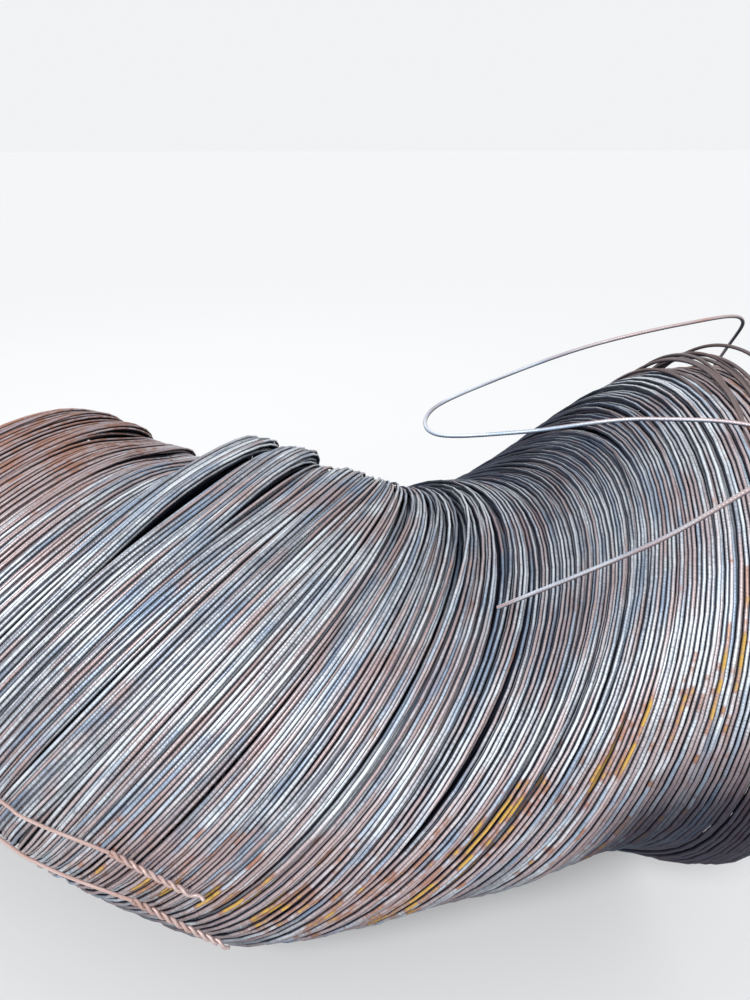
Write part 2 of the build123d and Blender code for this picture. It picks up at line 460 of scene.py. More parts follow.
    def spread(self, section: Section, run: np.ndarray,
               radius: np.ndarray) -> tuple[np.ndarray, np.ndarray]:
        """Push apart the wires of one section that are nearer than a diameter.

        Args:
            section: The coil's outside at this station.
            run: Runs of the wires.
            radius: Distances of the wires from the turn's middle.

        Returns:
            The new runs and radii.
        """
        gap = ROD_DIAMETER * self.kept_gap
        level, up, along = section.flat(run, radius)
        order = np.argsort(along)
        level, up = level[order], up[order]
        push_level = np.zeros_like(level)
        push_up = np.zeros_like(up)
        for shift in range(1, min(self.neighbours, len(order))):
            apart = level[shift:] - level[:-shift]
            above = up[shift:] - up[:-shift]
            distance = np.maximum(np.hypot(apart, above), self.least_gap)
            push = 0.5 * np.maximum(gap - distance, 0) / distance
            push_level[shift:] += push * apart
            push_level[:-shift] -= push * apart
            push_up[shift:] += push * above
            push_up[:-shift] -= push * above
        moved_run, moved_radius = section.back(level + self.push_share * push_level,
                                               up + self.push_share * push_up)
        step_run, step_radius = moved_run - run[order], moved_radius - radius[order]
        step = np.maximum(np.hypot(step_run, step_radius), self.least_step)
        scale = np.minimum(self.largest_step / step, 1.0)
        result_run, result_radius = run.copy(), radius.copy()
        result_run[order] += scale * step_run
        result_radius[order] += scale * step_radius
        return result_run, np.clip(result_radius, self.inner_radius, self.limit_radius)

    @staticmethod
    def smooth_wire(values: np.ndarray, amount: float) -> np.ndarray:
        """Draw the values along the continuous wire towards their neighbours' mean.

        Args:
            values: A value for each turn and station.
            amount: How far they are drawn, from 0 to 1.

        Returns:
            The smoothed values.
        """
        flat = values.reshape(-1)
        mean = flat.copy()
        mean[1:-1] = 0.5 * (flat[:-2] + flat[2:])
        return ((1 - amount) * flat + amount * mean).reshape(values.shape)

    def all_splits(self, rng: np.random.Generator) -> list[Split]:
        """Gather the parted places: the large ones, small ones anywhere, and those along the ridge.

        Args:
            rng: Seeded source of the random numbers.

        Returns:
            The parted places.
        """
        splits = list(self.splits)
        for _ in range(self.small_splits):
            place = rng.uniform(self.small_margin, LINE.length - self.small_margin)
            opening = rng.uniform(*self.small_opening)
            angle, reach = rng.uniform(*self.small_angle), rng.uniform(*self.small_reach)
            splits.append(Split(place, angle, opening, self.small_reach_run, reach))
        for place in np.linspace(*self.ridge_runs, self.ridge_splits):
            opening = rng.uniform(*self.ridge_opening)
            place = place + rng.uniform(*self.ridge_shift)
            angle, reach = rng.uniform(*self.ridge_angle), rng.uniform(*self.ridge_reach)
            splits.append(Split(place, angle, opening, self.ridge_reach_run, reach))
        return splits

    def strays(self, rng: np.random.Generator, angles: np.ndarray) -> np.ndarray:
        """Let single turns stand up from the top of the coil.

        Args:
            rng: Seeded source of the random numbers.
            angles: Angle of each turn and station.

        Returns:
            How far each turn and station stands up.
        """
        height = self.stray_rise * rng.random(self.turns) * (rng.random(self.turns) < self.stray_share)
        middle = rng.uniform(*self.stray_angle, self.turns)[:, None]
        reach = rng.uniform(*self.stray_reach, self.turns)[:, None]
        return height[:, None] * hump(np.degrees(angles), middle, reach)

    def lay(self) -> dict[str, np.ndarray]:
        """Lay the turns.

        Returns:
            The points of the wire and, for each, its run, angle, radius, depth and outward direction,
            as arrays with a row for each turn.
        """
        rng = np.random.default_rng(self.seed)
        angle = self.angles()
        angles = np.broadcast_to(angle, (self.turns, self.stations))
        sections = [Section(turn, self.outer_radius) for turn in angle]
        base = self.spacing(rng)
        around = (angle - angle[0]) / FULL_TURN
        run = base[:, None] + np.gradient(base)[:, None] * around[None, :]
        run = run + self.wander(rng, *self.run_waves)
        wave = self.ranks(rng)
        depths = self.depths(wave, base, sections)
        radius = self.outer_radius - depths + self.wander(rng, *self.radius_waves)
        radius = np.minimum(radius, self.limit_radius)
        # The turns settle twice: as they were wound, and again once they have parted.
        for _ in range(self.relax_rounds):
            self.settle(run, radius, sections)
            run = self.smooth_wire(run, self.relax_amount)
            radius = self.smooth_wire(radius, self.relax_amount)
        under = self.outer_radius - radius
        run = run + sum(split.shift(run, angles, under) for split in self.all_splits(rng))
        for _ in range(self.parted_rounds):
            self.settle(run, radius, sections)
            run = self.smooth_wire(run, self.parted_amount)
            radius = self.smooth_wire(radius, self.parted_amount)
        facing = [section.at("facing", run[:, number]) for number, section in enumerate(sections)]
        depth = (self.outer_radius - radius) * np.stack(facing, axis=1)
        # Whole bundles stand out or sink with their turns side by side, so this comes after settling.
        radius = radius + sum(swell.rise(run, angles) for swell in self.swells) + self.strays(rng, angles)
        points, outward = LINE.points(run, angles, radius)
        points[..., 2] = np.maximum(points[..., 2], self.floor_height)
        return {"points": points, "run": run, "angle": angles, "radius": radius, "depth": depth,
                "outward": outward}


class TubeBuilder:
    """Makes closed tubes along wires."""

    @staticmethod
    def rings(points: np.ndarray, outward: np.ndarray, size: np.ndarray, sides: int) -> np.ndarray:
        """Put a ring of points round each point of a wire.

        Args:
            points: The wire's line.
            outward: Direction that the first side of each ring faces.
            size: Diameter at each point.
            sides: Number of points in a ring.

        Returns:
            The rings.
        """
        along = unit(np.gradient(points, axis=0))
        out = unit(outward - np.sum(outward * along, axis=1, keepdims=True) * along)
        side = np.cross(along, out)
        turn = (FULL_TURN * np.arange(sides) / sides)[None, :, None]
        circle = np.cos(turn) * out[:, None, :] + np.sin(turn) * side[:, None, :]
        return points[:, None, :] + 0.5 * np.broadcast_to(size, len(points))[:, None, None] * circle

    @staticmethod
    def faces(rings: int, sides: int) -> tuple[np.ndarray, list[list[int]]]:
        """Join rings with quads and close the ends.

        Args:
            rings: Number of rings.
            sides: Number of points in a ring.

        Returns:
            The quads and the two caps.
        """
        ring = np.arange(rings - 1)[:, None] * sides
        side = np.arange(sides)[None, :]
        following = (side + 1) % sides
        corners = [ring + side, ring + following, ring + sides + following, ring + sides + side]
        last = (rings - 1) * sides
        caps = [list(reversed(range(sides))), [last + number for number in range(sides)]]
        return np.stack(corners, axis=-1).reshape(-1, 4), caps

    @classmethod
    def build(cls, name: str, rings: np.ndarray) -> bpy.types.Object:
        """Make a smooth-shaded tube with flat caps and link it to the scene.

        Args:
            name: Name of the piece.
            rings: The tube's rings of points, from one end to the other.

        Returns:
            The tube's object.
        """
        quads, caps = cls.faces(*rings.shape[:2])
        mesh = bpy.data.meshes.new(name)
        mesh.from_pydata(rings.reshape(-1, 3).tolist(), [], quads.tolist() + caps)
        mesh.polygons.foreach_set("use_smooth", [True] * len(quads) + [False] * len(caps))
        mesh.update()
        obj = bpy.data.objects.new(name, mesh)
        bpy.context.scene.collection.objects.link(obj)
        return obj

    @staticmethod
    def paint(obj: bpy.types.Object, marks: dict[str, np.ndarray]) -> None:
        """Store a number or a vector at each vertex, under each mark's name.

        Args:
            obj: The tube's object.
            marks: The values of each mark, one for each vertex.
        """
        for name, values in marks.items():
            kind, key = ("FLOAT", "value") if values.ndim == 1 else ("FLOAT_VECTOR", "vector")
            layer = obj.data.attributes.new(name, kind, "POINT")
            layer.data.foreach_set(key, values.astype(np.float32).ravel())


def through(points: list, step: float, pieces: int = 24) -> np.ndarray:
    """Draw a smooth line through points, at even distances.

    Args:
        points: The points that the line goes through.
        step: Distance between the returned points, in metres.
        pieces: Number of short straights between two of the given points, before they are evened out.

    Returns:
        The line's points.
    """
    given = np.array(points, dtype=float)
    ends = np.vstack([2 * given[0] - given[1], given, 2 * given[-1] - given[-2]])
    share = np.linspace(0, 1, pieces, endpoint=False)[:, None]
    parts = []
    for first, second, third, fourth in zip(ends, ends[1:], ends[2:], ends[3:]):
        cubic = 3 * (second - third) + fourth - first
        square = 2 * first - 5 * second + 4 * third - fourth
        parts.append(second + 0.5 * share * ((third - first) + share * (square + share * cubic)))
    line = np.vstack(parts + [given[-1:]])
    length = np.concatenate([[0], np.cumsum(np.linalg.norm(np.diff(line, axis=0), axis=1))])
    even = np.linspace(0, length[-1], max(int(length[-1] / step), 2) + 1)
    return np.stack([np.interp(even, length, line[:, number]) for number in range(3)], axis=-1)


def carried_frames(line: np.ndarray, least_level: float = 0.1) -> np.ndarray:
    """Carry a direction square to a line along it, without twist.

    Args:
        line: The line's points.
        least_level: How far from upright the line has to start for the direction to be level.

    Returns:
        The direction at each point.
    """
    along = unit(np.gradient(line, axis=0))
    level = np.cross(along[0], (0.0, 0.0, 1.0))
    side = unit(level if np.linalg.norm(level) > least_level else np.cross(along[0], (1.0, 0.0, 0.0)))
    sides = [side]
    for direction in along[1:]:
        side = unit(side - np.dot(side, direction) * direction)
        sides.append(side)
    return np.array(sides)


class GroupMaker:
    """Short calls that add nodes to a shader node group."""

    def __init__(self, name: str) -> None:
        """Start an empty group.

        Args:
            name: The group's name.
        """
        self.tree = bpy.data.node_groups.new(name, "ShaderNodeTree")
        self.enter = self.tree.nodes.new("NodeGroupInput")
        self.leave = self.tree.nodes.new("NodeGroupOutput")

    def takes(self, name: str, kind: str, value: float | tuple) -> None:
        """Add a named input with its plain value."""
        made = self.tree.interface.new_socket(name=name, in_out="INPUT", socket_type=kind)
        made.default_value = value

    def gives(self, name: str, kind: str) -> None:
        """Add a named output."""
        self.tree.interface.new_socket(name=name, in_out="OUTPUT", socket_type=kind)

    def feed(self, target: Socket, source: Socket | float | tuple) -> None:
        """Give a socket its value.

        Args:
            target: The socket.
            source: An output to join to it, or a number or colour to set it to.
        """
        if isinstance(source, Socket):
            self.tree.links.new(source, target)
        else:
            target.default_value = source

    def attribute(self, name: str, output: str = "Fac") -> Socket:
        """Read a mark stored on the mesh.

        Args:
            name: The mark's name.
            output: Name of the output that holds it.

        Returns:
            The mark.
        """
        node = self.tree.nodes.new("ShaderNodeAttribute")
        node.attribute_name = name
        return node.outputs[output]

    def math(self, operation: str, first: Socket | float, second: Socket | float = 0.0,
             clamp: bool = False) -> Socket:
        """Do a sum on two values.

        Args:
            operation: Blender's name for the sum.
            first: The first value.
            second: The second value.
            clamp: Whether the result is kept from 0 to 1.

        Returns:
            The result.
        """
        node = self.tree.nodes.new("ShaderNodeMath")
        node.operation = operation
        node.use_clamp = clamp
        self.feed(node.inputs[0], first)
        self.feed(node.inputs[1], second)
        return node.outputs[0]

    def total(self, *terms: tuple[Socket | float, float]) -> Socket:
        """Add up values.

        Args:
            terms: Each value with the number of times that it is taken.

        Returns:
            The sum.
        """
        result = 0.0
        for value, weight in terms:
            result = self.math("ADD", result, self.math("MULTIPLY", value, weight))
        return result

    def stretched(self, vector: Socket, size: Triple, offset: Socket | float) -> Socket:
        """Stretch a vector and move it.

        Args:
            vector: The vector.
            size: How far it is stretched along each axis.
            offset: What is added to its last axis.

        Returns:
            The new vector.
        """
        scaled = self.tree.nodes.new("ShaderNodeVectorMath")
        scaled.operation = "MULTIPLY"
        self.feed(scaled.inputs[0], vector)
        self.feed(scaled.inputs[1], size)
        place = self.tree.nodes.new("ShaderNodeCombineXYZ")
        self.feed(place.inputs["Z"], offset)
        moved = self.tree.nodes.new("ShaderNodeVectorMath")
        moved.operation = "ADD"
        self.feed(moved.inputs[0], scaled.outputs[0])
        self.feed(moved.inputs[1], place.outputs[0])
        return moved.outputs[0]

    def noise(self, vector: Socket, scale: float, detail: float) -> Socket:
        """Add a noise.

        Args:
            vector: Where the noise is read.
            scale: How fine it is.
            detail: How many finer noises are laid over it.

        Returns:
            The noise, from 0 to 1.
        """
        node = self.tree.nodes.new("ShaderNodeTexNoise")
        for label, source in (("Vector", vector), ("Scale", scale), ("Detail", detail)):
            self.feed(node.inputs[label], source)
        return node.outputs["Fac"]

    def ramp(self, value: Socket, low: float, high: float, start: float = 0.0, stop: float = 1.0) -> Socket:
        """Map a value smoothly from one range to another.

        Args:
            value: The value.
            low: Where the first range starts.
            high: Where the first range stops.
            start: Result at the start of the first range.
            stop: Result at its stop.

        Returns:
            The result.
        """
        node = self.tree.nodes.new("ShaderNodeMapRange")
        node.interpolation_type = "SMOOTHSTEP"
        labels = ("Value", "From Min", "From Max", "To Min", "To Max")
        for label, source in zip(labels, (value, low, high, start, stop)):
            self.feed(node.inputs[label], source)
        return node.outputs["Result"]

    def mix(self, share: Socket | float, first: Socket, second: Socket, blend: str = "MIX") -> Socket:
        """Blend two colours.

        Args:
            share: How much of the second colour shows.
            first: The first colour.
            second: The second colour.
            blend: Blender's name for the way they blend.

        Returns:
            The blended colour.
        """
        node = self.tree.nodes.new("ShaderNodeMix")
        node.data_type = "RGBA"
        node.blend_type = blend
        for place, source in (("Factor", share), (6, first), (7, second)):
            self.feed(node.inputs[place], source)
        return node.outputs[2]

    def grey(self, value: Socket) -> Socket:
        """Turn a value into a grey colour.

        Args:
            value: The value.

        Returns:
            The colour.
        """
        node = self.tree.nodes.new("ShaderNodeCombineColor")
        for number in range(3):
            self.feed(node.inputs[number], value)
        return node.outputs[0]


@dataclass(frozen=True)
class Grain:
    """A noise over the coil, stretched round the turns and along the line."""

    stretch: Triple
    scale: float
    detail: float
    shift: float = 0.0
    shared: bool = False

    def build(self, make: GroupMaker, wrap: Socket, own: Socket) -> Socket:
        """Add the noise to a group.

        Args:
            make: The group's maker.
            wrap: Place round the turn and along the line.
            own: A number that each turn has for itself.

        Returns:
            The noise. Where it isn't shared, each turn has its own.
        """
        offset = 0.0 if self.shared else make.math("ADD", own, self.shift)
        return make.noise(make.stretched(wrap, self.stretch, offset), self.scale, self.detail)


@dataclass(frozen=True)
class Tone:
    """Where a tone shows: a sum of marks and grains, and the sums where it starts and is full."""

    parts: tuple[tuple[str, float], ...]
    start: float
    full: float
    strength: float = 1.0

    def amount(self, make: GroupMaker, sources: dict[str, Socket]) -> Socket:
        """Return how far the tone shows, from 0 to 1."""
        total = make.total(*((sources[name], weight) for name, weight in self.parts))
        return make.ramp(total, self.start, self.full)


OCHRE_PARTS = (("ochre", 1.0), ("short", 1.7), ("streak", 1.4), ("chance", 0.8))


@dataclass(frozen=True)
class WeatheringAndShade:
    """The node group that weathers a hot-rolled rod and paints its shade: its grains, where each tone shows,
    and where it is darkened.
    """

    name: str = "weathered_shaded_rod"
    own_spread: float = 37.0
    patch: Grain = Grain((1.0, 1.0, 1.6), 3.2, 4.0, shared=True)
    tint: Grain = Grain((1.7, 1.7, 0.5), 1.6, 2.0)
    streak: Grain = Grain((3.4, 3.4, 1.0), 1.6, 4.0, 11.0)
    short: Grain = Grain((9.0, 9.0, 2.0), 1.8, 3.0, 23.0)
    fine: Grain = Grain((60.0, 60.0, 60.0), 3.0, 4.0)
    worn: Tone = Tone((("streak", 0.9), ("chance", 0.35), ("fine", 0.3), ("bare", 0.18)), 0.52, 1.0)
    blue: Tone = Tone((("patch", 0.8), ("tint", 1.0), ("bare", 0.03)), 0.92, 1.12, 0.6)
    mauve: Tone = Tone((("rusty", 0.30), ("tint", -1.0), ("patch", 0.45), ("Rust", 1.0)), -0.20, -0.02, 0.75)
    rust: Tone = Tone((("rusty", 0.32), ("Rust", 1.0), ("patch", 0.5), ("streak", 1.0), ("short", 0.9)),
                      1.50, 1.78, 0.85)
    stain: Tone = Tone(OCHRE_PARTS, 2.84, 3.12, 0.8)
    ochre: Tone = Tone(OCHRE_PARTS, 3.10, 3.36, 0.92)
    # Painted shade between the turns: crown_range darkens each wire's flanks, partly as grime, and the deep
    # values darken buried wires.
    crown_range: Pair = (0.52, 0.93)
    open_flank_shade_and_grime: float = 0.15
    deep_shade_range: Pair = (0.12, 0.62)
    deep_shade_strength: float = 0.97
    speckle_range: Pair = (0.25, 0.6)
    speckle_shades: Pair = (0.84, 1.05)
    cover_roughness: float = 0.42
    fine_roughness: float = 0.25
    polish: float = -0.12
    roughest: float = 0.95
    rib_range: Pair = (0.1, 0.9)
    rib_weight: float = 0.7
    pit_weight: float = 0.5

    def group(self) -> bpy.types.NodeTree:
        """Build the group, once.

        Returns:
            The group. It reads the marks of the mesh, and puts out the colour with its painted shade, the
            share of metal, the roughness and the height of the ribs.
        """
        found = bpy.data.node_groups.get(self.name)
        if found:
            return found
        make = GroupMaker(self.name)
        # These are placeholders. Each finish sets its own values.
        for label in ("Bright", "Scale", "Blue", "Mauve", "Brown", "Ochre", "Painted shade and grime"):
            make.takes(label, "NodeSocketColor", (0.5, 0.5, 0.5, 1.0))
        plain = {"Rust": 0.3, "Metal": 0.7, "Gloss": 0.4, "Flank shade and grime": 0.8, "Rib pitch": 0.006}
        for label, value in plain.items():
            make.takes(label, "NodeSocketFloat", value)
        make.gives("Colour", "NodeSocketColor")
        for label in ("Metal", "Roughness", "Height"):
            make.gives(label, "NodeSocketFloat")
        sources = self.sources(make)
        tones = (self.worn, self.blue, self.mauve, self.rust, self.stain, self.ochre)
        amounts = {tone: tone.amount(make, sources) for tone in tones}
        shade_and_grime = self.shade_and_grime(make)
        # Rust, ochre, and the painted shade with the flank grime cover the metal and make it rough.
        cover = make.math("MAXIMUM", make.math("MAXIMUM", amounts[self.rust], amounts[self.ochre]), shade_and_grime)
        metal = make.math("SUBTRACT", 1.0, cover, clamp=True)
        rough = make.total((make.enter.outputs["Gloss"], 1.0), (cover, self.cover_roughness),
                           (sources["fine"], self.fine_roughness), (self.polish, 1.0))
        results = {
            "Colour": self.colour(make, amounts, shade_and_grime, sources["fine"]),
            "Metal": make.math("MULTIPLY", metal, make.enter.outputs["Metal"]),
            "Roughness": make.math("MINIMUM", rough, self.roughest),
            "Height": make.total((self.ribs(make), self.rib_weight), (sources["fine"], self.pit_weight)),
        }
        for label, result in results.items():
            make.feed(make.leave.inputs[label], result)
        return make.tree

    def sources(self, make: GroupMaker) -> dict[str, Socket]:
        """Add the marks and grains that the tones are made of.

        Args:
            make: The group's maker.

        Returns:
            The marks and grains, under their names.
        """
        sources = {name: make.attribute(name) for name in ("chance", "bare", "rusty", "ochre")}
        sources["Rust"] = make.enter.outputs["Rust"]
        wrap = make.attribute("wrap", "Vector")
        own = make.math("MULTIPLY", sources["chance"], self.own_spread)
        grains = {"patch": self.patch, "tint": self.tint, "streak": self.streak, "short": self.short,
                  "fine": self.fine}
        for name, grain in grains.items():
            sources[name] = grain.build(make, wrap, own)
        return sources

    def shade_and_grime(self, make: GroupMaker) -> Socket:
        """Add the painted shade between the turns, with grime on their flanks: beside their crowns, deep in
        the wall, and low at the right end and under the coil.

        Args:
            make: The group's maker.

        Returns:
            How dark it is, from 0 to 1.
        """
        # Painted shade, partly grime: each wire darkens away from its crown, less where the turns lie open
        # at the ends and in the bore.
        beside = make.ramp(make.attribute("crown"), *self.crown_range, 1.0, 0.0)
        beside = make.math("MULTIPLY", beside, make.enter.outputs["Flank shade and grime"])
        opened = make.ramp(make.attribute("open"), 0.0, 1.0, 1.0, self.open_flank_shade_and_grime)
        beside = make.math("MULTIPLY", beside, opened)
        # Painted shade: wires that lie deeper in the wall are darkened.
        deep_shade = make.ramp(make.attribute("deep_shade"), *self.deep_shade_range, 0.0, self.deep_shade_strength)
        return make.math("MAXIMUM", make.math("MAXIMUM", beside, deep_shade), make.attribute("shade"))

    def colour(self, make: GroupMaker, amounts: dict[Tone, Socket], shade_and_grime: Socket, fine: Socket) -> Socket:
        """Lay the tones over each other.

        Args:
            make: The group's maker.
            amounts: How far each tone shows.
            shade_and_grime: How dark the painted shade, and the grime on the flanks, make it.
            fine: The finest grain, which speckles every tone.

        Returns:
            The rod's colour.
        """
        tones = make.enter.outputs
        painted = make.mix(amounts[self.worn], tones["Scale"], tones["Bright"])
        layers = (("Blue", self.blue), ("Mauve", self.mauve), ("Brown", self.rust), ("Brown", self.stain),
                  ("Ochre", self.ochre))
        for label, tone in layers:
            share = make.math("MULTIPLY", amounts[tone], tone.strength)
            painted = make.mix(share, painted, tones[label])
        # Painted shade: the flanks, the buried wires and the shaded places go towards this blue-black,
        # partly as grime.
        painted = make.mix(shade_and_grime, painted, tones["Painted shade and grime"])
        speckle = make.grey(make.ramp(fine, *self.speckle_range, *self.speckle_shades))
        return make.mix(1.0, painted, speckle, "MULTIPLY")

    def ribs(self, make: GroupMaker) -> Socket:
        """Return the height of the ribs that cross the rod, from 0 to 1."""
        turns = make.math("DIVIDE", make.attribute("along"), make.enter.outputs["Rib pitch"])
        return make.ramp(make.math("SINE", make.math("MULTIPLY", turns, FULL_TURN)), *self.rib_range)


@dataclass(frozen=True)
class RodFinish:
    """Hot-rolled steel rod: worn crowns, dark scale, patches of rust, and painted shade between the turns,
    partly grime on their flanks.
    """

    name: str
    bright: Triple = (0.86, 0.92, 0.98)
    scale: Triple = (0.28, 0.30, 0.35)
    blue: Triple = (0.24, 0.35, 0.52)
    mauve: Triple = (0.52, 0.37, 0.36)
    brown: Triple = (0.42, 0.20, 0.13)
    ochre: Triple = (0.66, 0.41, 0.09)
    # Blue-black of the painted shade between and under the turns, and of the grime on their flanks.
    shade_and_grime_colour: Triple = (0.005, 0.010, 0.028)
    rust: float = 0.1
    metallic: float = 0.5
    gloss: float = 0.34
    specular: float = 0.2
    flank_shade_and_grime: float = 0.96
    rib_pitch: float = 0.0062
    rib_height: float = 0.35
    rib_depth: float = 0.001

    def build(self) -> bpy.types.Material:
        """Make the material, worked out from the marks stored on the wire.

        Returns:
            The material.
        """
        material = bpy.data.materials.new(self.name)
        material.use_nodes = True
        tree = material.node_tree
        tree.nodes.clear()
        output = tree.nodes.new("ShaderNodeOutputMaterial")
        surface = tree.nodes.new("ShaderNodeBsdfPrincipled")
        surface.inputs["Specular IOR Level"].default_value = self.specular
        weathered_shaded = tree.nodes.new("ShaderNodeGroup")
        weathered_shaded.node_tree = WeatheringAndShade().group()
        colours = {"Bright": self.bright, "Scale": self.scale, "Blue": self.blue, "Mauve": self.mauve,
                   "Brown": self.brown, "Ochre": self.ochre, "Painted shade and grime": self.shade_and_grime_colour}
        for label, colour in colours.items():
            weathered_shaded.inputs[label].default_value = (*colour, 1.0)
        values = {"Rust": self.rust, "Metal": self.metallic, "Gloss": self.gloss, "Flank shade and grime": self.flank_shade_and_grime,
                  "Rib pitch": self.rib_pitch}
        for label, value in values.items():
            weathered_shaded.inputs[label].default_value = value
        bump = tree.nodes.new("ShaderNodeBump")
        bump.inputs["Strength"].default_value = self.rib_height
        bump.inputs["Distance"].default_value = self.rib_depth
        joins = ((weathered_shaded.outputs["Colour"], surface.inputs["Base Color"]),
                 (weathered_shaded.outputs["Metal"], surface.inputs["Metallic"]),
                 (weathered_shaded.outputs["Roughness"], surface.inputs["Roughness"]),
                 (weathered_shaded.outputs["Height"], bump.inputs["Height"]),
                 (bump.outputs["Normal"], surface.inputs["Normal"]),
                 (surface.outputs["BSDF"], output.inputs["Surface"]))
        for source, target in joins:
            tree.links.new(source, target)
        return material


def adopt(obj: bpy.types.Object, material: bpy.types.Material, slot: str, *nodes: str) -> None:
    """Give a piece its finish and its place in the part.

    Args:
        obj: The piece.
        material: Its finish.
        slot: Name of a material slot; not used.
        nodes: Nodes that it stands for.
    """
    obj.data.materials.append(material)
    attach(obj, "root")
    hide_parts(*nodes)
    LOG.info("piece %s, %d faces", obj.name, len(obj.data.polygons))


@dataclass(frozen=True)
class Rise:
    """A smooth rise from 0 to 1 that starts at a place, towards lower places if its reach is negative."""

    start: float
    reach: float

    def at(self, place: np.ndarray) -> np.ndarray:
        """Return how far the rise has come at these places."""
        return smooth_step((place - self.start) / self.reach)


@dataclass(frozen=True)
class Patch:
    """A patch on the coil: its middle, how far it reaches, in metres and degrees, and its strength."""

    run: float
    angle: float
    reach_run: float
    reach_angle: float
    strength: float

    def amount(self, run: np.ndarray, degrees: np.ndarray) -> np.ndarray:
        """Return how strong the patch is at these places."""
        along = hump(run, self.run, self.reach_run)
        return self.strength * along * hump(degrees, self.angle, self.reach_angle)


@dataclass
class Turns:
    """The wound turns, in pieces along the coil, and where they are rusty, bare and painted in shade."""

    layout: TurnLayout = field(default_factory=TurnLayout)
    sides: int = 5
    left_rust: tuple[Rise, Rise] = (Rise(1.5, 0.35), Rise(-20.0, 80.0))
    end_rust_run: Pair = (0.02, 0.10)
    end_rust_angle: Rise = Rise(-90.0, 60.0)
    end_rust_strength: float = 0.8
    low_rust: Patch = Patch(0.72, 2.0, 0.45, 22.0, 0.6)
    ochre: tuple[Patch, ...] = (
        Patch(0.62, 14.0, 0.15, 12.0, 1.16), Patch(0.44, 20.0, 0.09, 11.0, 1.08),
        Patch(0.32, 24.0, 0.08, 11.0, 1.04), Patch(0.20, 30.0, 0.07, 14.0, 0.95),
        Patch(0.24, -6.0, 0.12, 12.0, 0.85), Patch(0.90, 1.0, 0.18, 9.0, 1.12),
        Patch(0.60, -12.0, 0.30, 14.0, 0.95), Patch(0.05, 56.0, 0.12, 40.0, 0.75),
    )
    bare_run: Pair = (0.30, 0.45)
    bare_angle: Rise = Rise(-20.0, 50.0)
    # Painted shade low at the right end and under the coil.
    shade_run: Rise = Rise(0.45, -0.2)
    shade_strength: float = 0.93
    shade_angle: Triple = (-48.0, 70.0, 25.0)
    under_angles: tuple[Rise, Rise] = (Rise(6.0, -40.0), Rise(-100.0, 20.0))
    under_strength: float = 0.78
    # How the painted shade by depth fades at the ends and in the bore, and the depth at which it is full.
    end_reach: float = 0.03
    bore_reach: float = 0.04
    dark_depth: float = 0.03
    open_share: float = 0.75

    def rust(self, run: np.ndarray, degrees: np.ndarray) -> np.ndarray:
        """Work out where the turns are rusty: at the left, at the right end and low in the middle.

        Args:
            run: Run of each point.
            degrees: Angle of each point.

        Returns:
            How rusty each point is, from 0 to 1.
        """
        left = self.left_rust[0].at(run) * self.left_rust[1].at(degrees)
        right = hump(run, *self.end_rust_run) * self.end_rust_angle.at(degrees)
        return np.clip(left + self.end_rust_strength * right + self.low_rust.amount(run, degrees), 0, 1)

    def shade(self, run: np.ndarray, degrees: np.ndarray) -> np.ndarray:
        """Work out where the turns get painted shade: low at the right end, and under the coil.

        Args:
            run: Run of each point.
            degrees: Angle of each point.

        Returns:
            How dark each point is, from 0 to 1.
        """
        middle, half, edge = self.shade_angle
        front = smooth_step((half - np.abs(degrees - middle)) / edge)
        low = self.shade_strength * self.shade_run.at(run) * front
        under = self.under_strength * self.under_angles[0].at(degrees) * self.under_angles[1].at(degrees)
        return np.clip(np.maximum(low, under), 0, 1)

    def marks(self, laid: dict[str, np.ndarray]) -> dict[str, np.ndarray]:
        """Work out the marks that the finish reads.

        Args:
            laid: The turns, as the layout gives them.

        Returns:
            One value or vector for each point of the wire, under each mark's name.
        """
        rng = np.random.default_rng(self.layout.seed + 1)
        run, angle = laid["run"], laid["angle"]
        degrees = np.degrees(angle)
        ends = 1 - np.minimum(run, LINE.length - run) / self.end_reach
        bore = 1 - (laid["radius"] - self.layout.inner_radius) / self.bore_reach
        opened = np.clip(np.maximum(ends, bore), 0, 1)
        return {
            "wrap": np.stack([np.cos(angle), np.sin(angle), run], axis=-1),
            "chance": np.broadcast_to(rng.random((self.layout.turns, 1)), run.shape),
            "bare": hump(run, *self.bare_run) * self.bare_angle.at(degrees),
            "open": opened,
            # Painted shade by depth under the coil's outside, weaker at the ends and in the bore, where the
            # turns lie open.
            "deep_shade": np.clip(laid["depth"] / self.dark_depth, 0, 1) * (1 - self.open_share * opened),
            "rusty": self.rust(run, degrees),
            "ochre": np.clip(sum(patch.amount(run, degrees) for patch in self.ochre), 0, 1),
            "shade": self.shade(run, degrees),
            "along": (angle - angle[0, 0]) * self.layout.outer_radius,
        }

    def build(self, material: bpy.types.Material) -> None:
        """Make one piece for each region of the coil.

        Args:
            material: Finish of the rod.
        """
        laid = self.layout.lay()
        marks = {name: values.reshape(-1, *values.shape[2:]) for name, values in self.marks(laid).items()}
        points = laid["points"].reshape(-1, 3)
        outward = laid["outward"].reshape(-1, 3)
        # The crown mark is 1 on each wire's outward side and falls to 0 on its inner side, where the finish
        # paints shade and grime.
        crown = 0.5 + 0.5 * np.cos(FULL_TURN * np.arange(self.sides) / self.sides)
        share = self.layout.turns / len(Region)
        # Each piece takes in the first ring of the next one, so that no gap shows between them.
        for number, region in enumerate(Region):
            start = round(number * share) * self.layout.stations
            stop = min(round((number + 1) * share) * self.layout.stations + 1, len(points))
            part = slice(start, stop)
            rings = TubeBuilder.rings(points[part], outward[part], np.array(ROD_DIAMETER), self.sides)
            obj = TubeBuilder.build(region.value, rings)
            worn = {name: np.repeat(values[part], self.sides, axis=0) for name, values in marks.items()}
            TubeBuilder.paint(obj, worn | {"crown": np.tile(crown, stop - start)})
            adopt(obj, material, "rod_steel", "wire_coil")


